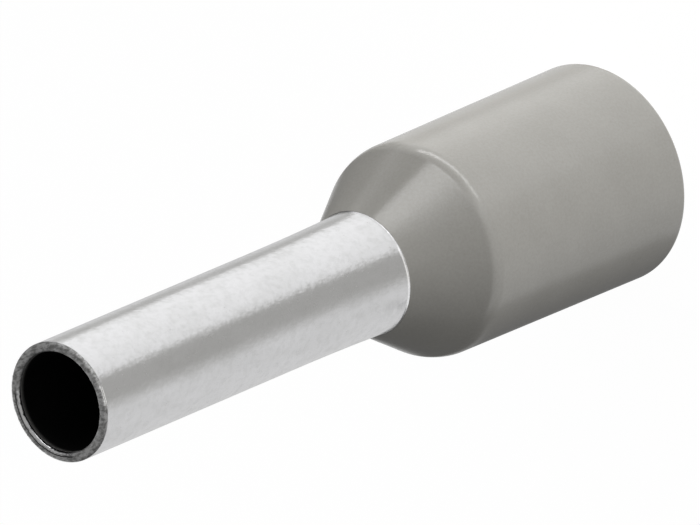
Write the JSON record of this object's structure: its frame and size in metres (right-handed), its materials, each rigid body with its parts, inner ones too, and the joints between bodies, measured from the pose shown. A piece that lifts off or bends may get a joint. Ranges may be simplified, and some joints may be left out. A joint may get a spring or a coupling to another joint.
{
  "type": "wire ferrule",
  "caption": "Insulated wire ferrule: a thin straight metal sleeve, flared into a funnel inside a wider moulded plastic collar with a conical shoulder and an open rim.",
  "frame": {"origin": "centre of the collar's open rim, on the surface that the ferrule stands on", "axes": "+Z along the common axis of collar and sleeve, from the open rim up to the sleeve's tip"},
  "size_m": [0.006, 0.006, 0.0217],
  "materials": {
    "tinned_copper": "bright tin plating over copper, satin and finely mottled",
    "grey_plastic": "satin moulded polypropylene, warm grey"
  },
  "bodies": {
    "root": {"crimp_sleeve": "tinned_copper", "insulating_collar": "grey_plastic"}
  },
  "joints": []
}
